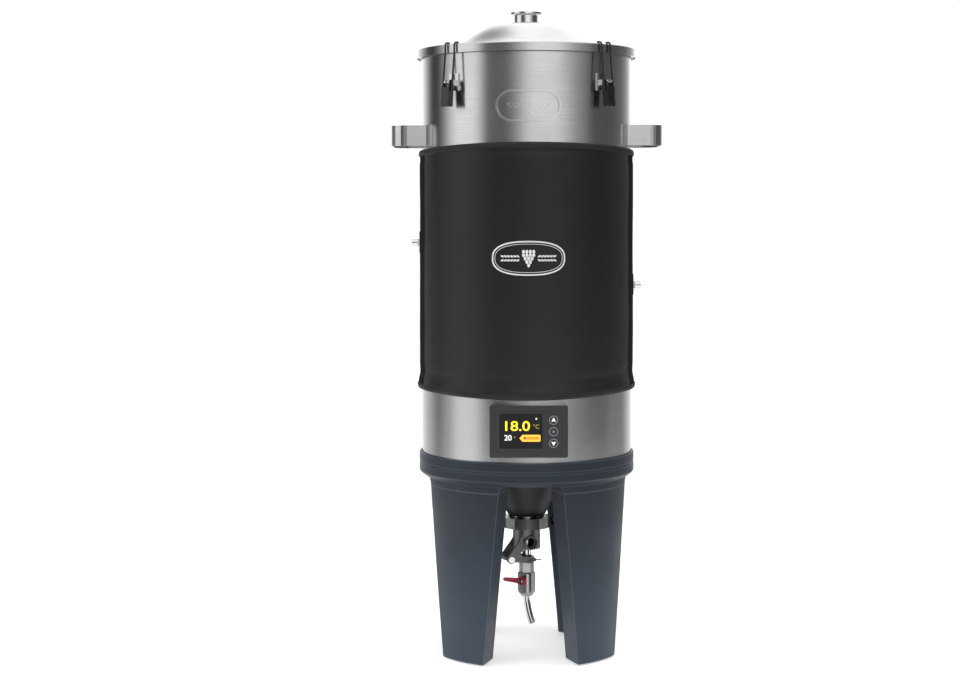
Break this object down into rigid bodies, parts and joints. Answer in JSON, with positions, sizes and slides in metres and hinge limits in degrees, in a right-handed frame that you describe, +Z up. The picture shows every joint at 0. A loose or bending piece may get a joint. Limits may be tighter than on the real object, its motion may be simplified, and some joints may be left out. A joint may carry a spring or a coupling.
{
  "type": "conical fermenter",
  "caption": "Insulated conical fermenter with a clipped domed lid, neoprene sleeve, control panel, legged stand and dual dump and sampling valve.",
  "frame": {"origin": "on the floor under the tank's axis", "axes": "+Z up along the tank's axis; the control panel faces -Y; +X is to the right as one faces the panel"},
  "size_m": [0.43, 0.352, 1.025],
  "materials": {
    "stand_plastic": "satin moulded",
    "rubber": "matt",
    "brushed_steel": "brushed",
    "polished_steel": "polished",
    "neoprene": "matt knit face",
    "cone_black": "matt",
    "foam": "closed-cell foam",
    "heater": "silicone mat",
    "panel_plastic": "satin",
    "screen_glass": "gloss",
    "button_plastic": "satin",
    "circuit": "solder mask",
    "inlet_plastic": "satin",
    "silicone": "translucent white",
    "clip_plastic": "satin",
    "coated_wire": "dipped coat",
    "cast_steel": "bead-blasted casting",
    "seal_white": "smooth",
    "red_grip": "dipped vinyl"
  },
  "bodies": {
    "tank": {"stand_collar": "stand_plastic", "stand_legs": "stand_plastic", "foot_pads": "rubber", "outer_shell": "brushed_steel", "bottom_plate": "brushed_steel", "inner_vessel": "brushed_steel", "insulation": "foam", "cooling_jacket": "brushed_steel", "heater_band": "heater", "thermowell": "polished_steel", "cone_cover": "cone_black", "neoprene_sleeve": "neoprene", "shell_emblem": "brushed_steel", "handle_left": "brushed_steel", "handle_right": "brushed_steel", "coolant_port_left": "polished_steel", "coolant_port_right": "polished_steel", "port_nuts": "polished_steel", "panel_bezel": "panel_plastic", "display_screen": "screen_glass", "circuit_board": "circuit", "control_box": "panel_plastic", "power_inlet": "inlet_plastic", "clip_brackets": "polished_steel", "clip_pins": "polished_steel", "bottom_gasket": "silicone", "clamp_half_front": "cast_steel", "clamp_half_back": "cast_steel", "clamp_hinge_pin": "cast_steel", "swing_bolt": "cast_steel", "valve_body": "cast_steel", "lever_pin": "polished_steel"},
    "lid": {"lid_dome": "brushed_steel", "lid_ferrule": "polished_steel", "lid_gasket": "silicone"},
    "valve_lever": {"valve_lever": "cast_steel"},
    "plunger": {"plunger_tube": "polished_steel", "plunger_seal": "seal_white", "stem_ring": "rubber", "collar_clamp": "cast_steel", "collar_screw": "cast_steel", "tap_adapter": "polished_steel", "tap_body": "cast_steel", "tap_spout": "polished_steel"},
    "tap_handle": {"tap_ball": "polished_steel", "tap_stem": "polished_steel", "tap_handle": "red_grip", "tap_nut": "polished_steel"},
    "wing_nut": {"wing_nut": "cast_steel"},
    "button_up": {"button_up": "button_plastic"},
    "button_set": {"button_set": "button_plastic"},
    "button_down": {"button_down": "button_plastic"},
    "clip_lever_fl": {"clip_lever_fl": "clip_plastic"},
    "clip_bail_fl": {"clip_bail_fl": "coated_wire"},
    "clip_lever_fr": {"clip_lever_fr": "clip_plastic"},
    "clip_bail_fr": {"clip_bail_fr": "coated_wire"},
    "clip_lever_bl": {"clip_lever_bl": "clip_plastic"},
    "clip_bail_bl": {"clip_bail_bl": "coated_wire"},
    "clip_lever_br": {"clip_lever_br": "clip_plastic"},
    "clip_bail_br": {"clip_bail_br": "coated_wire"}
  },
  "joints": [
    {"name": "lid_lift", "type": "slide", "parent": "tank", "child": "lid", "axis": [0, 0, 1], "range_m": [0, 0.03]},
    {"name": "clip_lever_fl_hinge", "type": "hinge", "parent": "tank", "child": "clip_lever_fl", "pos_m": [-0.12245, -0.136, 0.905], "axis": [-0.7431, 0.6691, 0], "range_deg": [0, 110]},
    {"name": "clip_bail_fl_hinge", "type": "hinge", "parent": "clip_lever_fl", "child": "clip_bail_fl", "pos_m": [-0.12379, -0.13748, 0.893], "axis": [0.7431, -0.6691, 0], "range_deg": [0, 220]},
    {"name": "clip_lever_fr_hinge", "type": "hinge", "parent": "tank", "child": "clip_lever_fr", "pos_m": [0.12245, -0.136, 0.905], "axis": [-0.7431, -0.6691, 0], "range_deg": [0, 110]},
    {"name": "clip_bail_fr_hinge", "type": "hinge", "parent": "clip_lever_fr", "child": "clip_bail_fr", "pos_m": [0.12379, -0.13748, 0.893], "axis": [0.7431, 0.6691, 0], "range_deg": [0, 220]},
    {"name": "clip_lever_bl_hinge", "type": "hinge", "parent": "tank", "child": "clip_lever_bl", "pos_m": [-0.12245, 0.136, 0.905], "axis": [0.7431, 0.6691, 0], "range_deg": [0, 110]},
    {"name": "clip_bail_bl_hinge", "type": "hinge", "parent": "clip_lever_bl", "child": "clip_bail_bl", "pos_m": [-0.12379, 0.13748, 0.893], "axis": [-0.7431, -0.6691, 0], "range_deg": [0, 220]},
    {"name": "clip_lever_br_hinge", "type": "hinge", "parent": "tank", "child": "clip_lever_br", "pos_m": [0.12245, 0.136, 0.905], "axis": [0.7431, -0.6691, 0], "range_deg": [0, 110]},
    {"name": "clip_bail_br_hinge", "type": "hinge", "parent": "clip_lever_br", "child": "clip_bail_br", "pos_m": [0.12379, 0.13748, 0.893], "axis": [-0.7431, 0.6691, 0], "range_deg": [0, 220]},
    {"name": "valve_lever_hinge", "type": "hinge", "parent": "tank", "child": "valve_lever", "pos_m": [-0.02994, -0.00802, 0.146], "axis": [0.2588, -0.9659, 0], "range_deg": [0, 17]},
    {"name": "plunger_lift", "type": "slide", "parent": "tank", "child": "plunger", "axis": [0, 0, 1], "range_m": [0, 0.0092]},
    {"name": "tap_handle_hinge", "type": "hinge", "parent": "plunger", "child": "tap_handle", "pos_m": [0, 0, 0.109], "axis": [-0.5, -0.866, 0], "range_deg": [0, 90]},
    {"name": "wing_nut_spin", "type": "hinge", "parent": "tank", "child": "wing_nut", "pos_m": [0.04518, 0.0207, 0.2045], "axis": [-0.2588, 0.9659, 0], "continuous": true},
    {"name": "button_up_press", "type": "slide", "parent": "tank", "child": "button_up", "axis": [0, 1, 0], "range_m": [0, 0.001], "stiffness_N_per_m": 400},
    {"name": "button_set_press", "type": "slide", "parent": "tank", "child": "button_set", "axis": [0, 1, 0], "range_m": [0, 0.001], "stiffness_N_per_m": 400},
    {"name": "button_down_press", "type": "slide", "parent": "tank", "child": "button_down", "axis": [0, 1, 0], "range_m": [0, 0.001], "stiffness_N_per_m": 400}
  ],
  "couplings": [
    {"joint": "clip_lever_fl_hinge", "follows": "lid_lift", "rad_per_m": 63.995},
    {"joint": "clip_bail_fl_hinge", "follows": "lid_lift", "rad_per_m": 127.99},
    {"joint": "clip_lever_fr_hinge", "follows": "lid_lift", "rad_per_m": 63.995},
    {"joint": "clip_bail_fr_hinge", "follows": "lid_lift", "rad_per_m": 127.99},
    {"joint": "clip_lever_bl_hinge", "follows": "lid_lift", "rad_per_m": 63.995},
    {"joint": "clip_bail_bl_hinge", "follows": "lid_lift", "rad_per_m": 127.99},
    {"joint": "clip_lever_br_hinge", "follows": "lid_lift", "rad_per_m": 63.995},
    {"joint": "clip_bail_br_hinge", "follows": "lid_lift", "rad_per_m": 127.99},
    {"joint": "valve_lever_hinge", "follows": "plunger_lift", "rad_per_m": 32.25}
  ]
}
